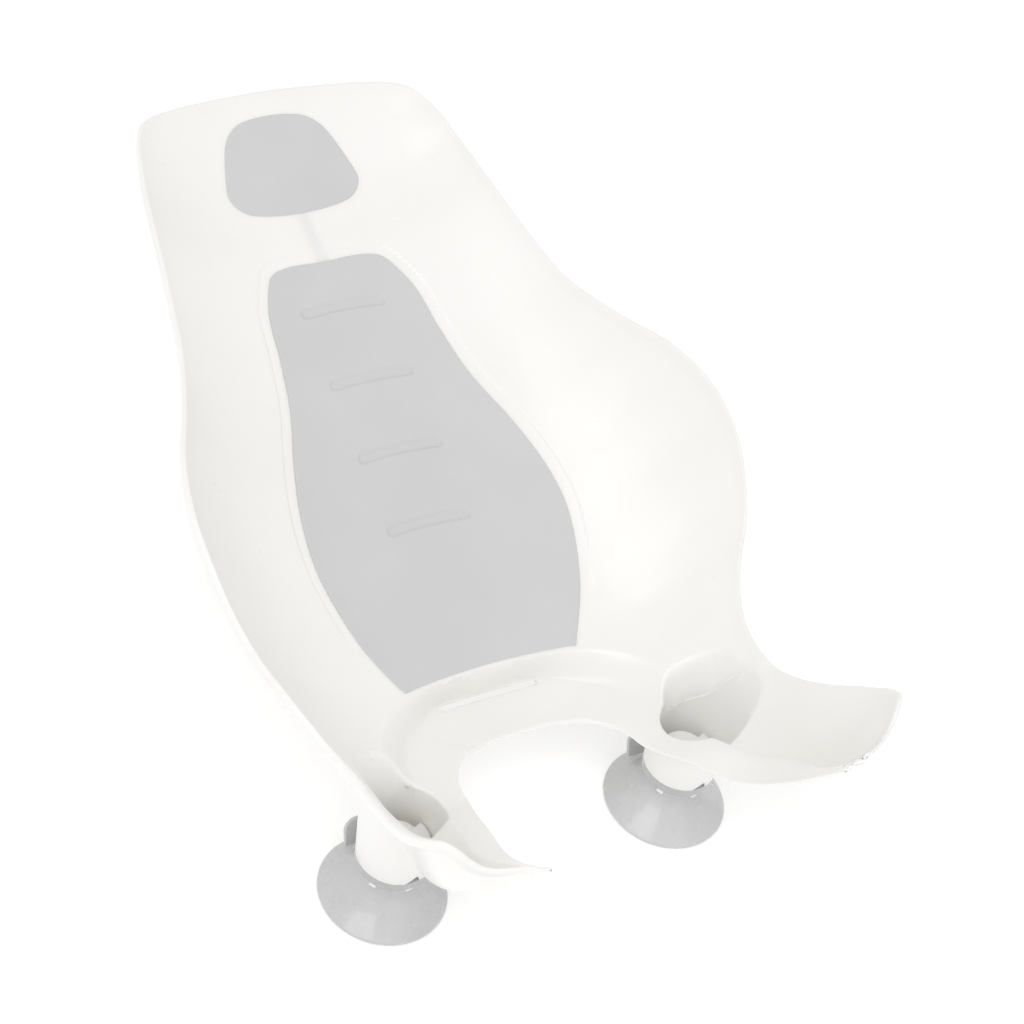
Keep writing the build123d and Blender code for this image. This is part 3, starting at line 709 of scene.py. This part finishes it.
def noise(tree, scale, detail):
    """A noise texture in the object's own space."""
    coords = tree.nodes.new("ShaderNodeTexCoord")
    texture = tree.nodes.new("ShaderNodeTexNoise")
    texture.inputs["Scale"].default_value = scale
    texture.inputs["Detail"].default_value = detail
    tree.links.new(coords.outputs["Object"], texture.inputs["Vector"])
    return texture.outputs["Fac"]


def ramp(tree, source, stops):
    """A colour that follows a value, from (position, colour) stops."""
    node = tree.nodes.new("ShaderNodeValToRGB")
    while len(node.color_ramp.elements) < len(stops):
        node.color_ramp.elements.new(0.5)
    for element, (position, colour) in zip(node.color_ramp.elements, stops):
        element.position = position
        element.color = (*colour, 1)
    tree.links.new(source, node.inputs["Fac"])
    return node.outputs["Color"]


def bump(tree, shader, source, strength, distance):
    node = tree.nodes.new("ShaderNodeBump")
    node.inputs["Strength"].default_value = strength
    node.inputs["Distance"].default_value = distance
    tree.links.new(source, node.inputs["Height"])
    tree.links.new(node.outputs["Normal"], shader.inputs["Normal"])


def varied(tree, shader, socket, source, low, high):
    """Lets a value drive a socket between two limits."""
    node = tree.nodes.new("ShaderNodeMapRange")
    node.inputs["To Min"].default_value = low
    node.inputs["To Max"].default_value = high
    tree.links.new(source, node.inputs["Value"])
    tree.links.new(node.outputs["Result"], shader.inputs[socket])


def plastic(name, colour, scuffed=False):
    """Moulded gloss plastic: faint warm and cool drift, satin patches, a very fine ripple."""
    material, tree, shader = new_material(name, colour, 0.3, Coat_Weight=0.12, Coat_Roughness=0.12,
                                          Subsurface_Weight=0.35, Subsurface_Scale=0.008)
    shader.inputs["Subsurface Radius"].default_value = (1.0, 0.95, 0.85)
    pale = tuple(min(c * 1.015, 1) for c in colour)
    warm = (colour[0], colour[1] * 0.992, colour[2] * 0.978)
    tint = ramp(tree, noise(tree, scale=9.0, detail=2.0), [(0.35, warm), (0.65, pale)])
    if scuffed:
        tint = add_scuffs(tree, tint)
    tree.links.new(tint, shader.inputs["Base Color"])
    varied(tree, shader, "Roughness", noise(tree, scale=40.0, detail=4.0), low=0.24, high=0.36)
    bump(tree, shader, noise(tree, scale=420.0, detail=2.0), strength=0.06, distance=0.0004)
    return material


SCUFF_SPOT = (0.111, -0.284, 0.176)  # in the frame's metres


def add_scuffs(tree, colour):
    """Brown rub marks at the tip of the left wing."""
    coords = tree.nodes.new("ShaderNodeTexCoord")
    away = tree.nodes.new("ShaderNodeVectorMath")
    away.operation = "DISTANCE"
    away.inputs[1].default_value = SCUFF_SPOT
    tree.links.new(coords.outputs["Object"], away.inputs[0])
    near = tree.nodes.new("ShaderNodeMapRange")
    for key, value in (("From Min", 0.007), ("From Max", 0.026), ("To Min", 1.0), ("To Max", 0.0)):
        near.inputs[key].default_value = value
    tree.links.new(away.outputs["Value"], near.inputs["Value"])
    grain = ramp(tree, noise(tree, scale=520.0, detail=5.0), [(0.56, (0, 0, 0)), (0.66, (1, 1, 1))])
    amount = tree.nodes.new("ShaderNodeMath")
    amount.operation = "MULTIPLY"
    tree.links.new(near.outputs["Result"], amount.inputs[0])
    tree.links.new(grain, amount.inputs[1])
    mix = tree.nodes.new("ShaderNodeMix")
    mix.data_type = "RGBA"
    mix.inputs["B"].default_value = (0.34, 0.2, 0.13, 1)
    tree.links.new(amount.outputs["Value"], mix.inputs["Factor"])
    tree.links.new(colour, mix.inputs["A"])
    return mix.outputs["Result"]


def soft_pad(name, colour):
    """Matt soft-touch pad: fine even grain with a slight sheen."""
    material, tree, shader = new_material(name, colour, 0.55, Sheen_Weight=0.12, Sheen_Roughness=0.5)
    dark, light = (tuple(c * k for c in colour) for k in (0.985, 1.02))
    tint = ramp(tree, noise(tree, scale=14.0, detail=3.0), [(0.35, dark), (0.65, light)])
    tree.links.new(tint, shader.inputs["Base Color"])
    varied(tree, shader, "Roughness", noise(tree, scale=60.0, detail=3.0), low=0.48, high=0.6)
    bump(tree, shader, noise(tree, scale=1500.0, detail=2.0), strength=0.18, distance=0.0002)
    return material


def cup_rubber(name, colour):
    """Glossy soft rubber, a little cloudy, with a faint unevenness in its shine."""
    material, tree, shader = new_material(name, colour, 0.22, Coat_Weight=0.4, Coat_Roughness=0.08)
    dark, light = (tuple(c * k for c in colour) for k in (0.96, 1.03))
    tint = ramp(tree, noise(tree, scale=30.0, detail=3.0), [(0.35, dark), (0.65, light)])
    tree.links.new(tint, shader.inputs["Base Color"])
    varied(tree, shader, "Roughness", noise(tree, scale=90.0, detail=4.0), low=0.2, high=0.34)
    bump(tree, shader, noise(tree, scale=120.0, detail=3.0), strength=0.12, distance=0.0008)
    return material


def paint(obj, material):
    obj.data.materials.clear()
    obj.data.materials.append(material)


# ---- the object ----------------------------------------------------------------------------------
white_shell = plastic("shell_white", (0.845, 0.838, 0.82), scuffed=True)
white_parts = plastic("part_white", (0.86, 0.858, 0.845))
pad_grey = soft_pad("pad_grey", (0.60, 0.60, 0.605))
cup_grey = cup_rubber("cup_grey", (0.56, 0.56, 0.565))
collar_grey = cup_rubber("collar_grey", (0.44, 0.44, 0.445))

shell = build_shell()
paint(shell, white_shell)
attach(shell, "seat")
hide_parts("shell")

back_pad = build_pad("back_cushion", back_outline(1.0), BACK_SPINE, BACK_RINGS, True)
head_pad = build_pad("head_cushion", head_outline(1.0), HEAD_SPINE, HEAD_RINGS, False)
for pad, node in ((back_pad, "back_pad"), (head_pad, "head_pad")):
    paint(pad, pad_grey)
    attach(pad, "seat")
    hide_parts(node)

for spot, (x, y) in FEET.items():
    cup = turned(f"cup_{spot}", x, y, cup_profile(), wave=0.25)
    ring_piece = turned(f"collar_{spot}", x, y, soft_corners(COLLAR_EDGE, 0.5))
    tab = build_tab(f"tab_{spot}", x, y)
    for piece, body, node, material, slot in (
        (cup, f"foot_{spot}", f"suction_cup_{spot}", cup_grey, "cup_rubber"),
        (ring_piece, f"foot_{spot}", f"cup_collar_{spot}", collar_grey, "collar_grey"),
        (tab, f"tab_{spot}", f"pull_tab_{spot}", cup_grey, "cup_rubber"),
    ):
        paint(piece, material)
        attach(piece, body)
        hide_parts(node)
    paint(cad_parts[f"bayonet_plug_{spot}"], white_parts)
for node in ("rear_leg_left", "rear_leg_right"):
    paint(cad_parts[node], white_parts)
paint(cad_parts["pad_runner"], pad_grey)

# ---- floor, light and camera ---------------------------------------------------------------------
FLOOR_HALF, FLOOR_Z = 6.0, -0.0005
LENS, SENSOR = 88.5, 36.0
# the camera's own axes and its place, in metres with y from the front legs' axis
CAMERA_RIGHT = (0.8504, -0.4771, 0.2220)
CAMERA_UP = (0.2145, 0.6995, 0.6818)
CAMERA_BACK = (-0.4805, -0.5321, 0.6971)
CAMERA_X, CAMERA_Y, CAMERA_Z = -0.6951, -0.6646, 1.1930

floor_material, _, floor_shader = new_material("floor_pale", (0.95, 0.95, 0.95), 0.9, Emission_Strength=0.16)
floor_shader.inputs["Emission Color"].default_value = (1, 1, 1, 1)
corners = [(FLOOR_HALF * x, FLOOR_HALF * y, FLOOR_Z) for x, y in ((-1, -1), (1, -1), (1, 1), (-1, 1))]
floor = add_mesh("floor", corners, [(0, 1, 2, 3)])
paint(floor, floor_material)

scene = bpy.context.scene
scene.view_settings.view_transform = "Standard"
scene.cycles.diffuse_bounces = 8
world = bpy.data.worlds.new("studio")
world.use_nodes = True
background = world.node_tree.nodes["Background"]
background.inputs["Color"].default_value = (1, 1, 1, 1)
background.inputs["Strength"].default_value = 0.84
scene.world = world


def soft_light(name, energy, size, position):
    """A square area light that points at the middle of the object."""
    data = bpy.data.lights.new(name, "AREA")
    data.energy, data.size = energy, size
    obj = bpy.data.objects.new(name, data)
    obj.location = position
    obj.rotation_euler = (Vector((0, 0, 0.1)) - Vector(position)).to_track_quat("-Z", "Y").to_euler()
    scene.collection.objects.link(obj)


soft_light("key", energy=13.5, size=1.4, position=(-1.1, -0.7, 2.15))
soft_light("fill", energy=3.5, size=1.6, position=(0.2, -2.0, 1.7))

camera_data = bpy.data.cameras.new("photo_camera")
camera_data.lens, camera_data.sensor_width = LENS, SENSOR
camera = bpy.data.objects.new("photo_camera", camera_data)
camera_place = (CAMERA_X, CAMERA_Y + LEG_Y / 1000, CAMERA_Z)
columns = (CAMERA_RIGHT, CAMERA_UP, CAMERA_BACK, camera_place)
camera.matrix_world = Matrix([[column[k] for column in columns] for k in range(3)] + [[0, 0, 0, 1]])
scene.collection.objects.link(camera)
scene.camera = camera
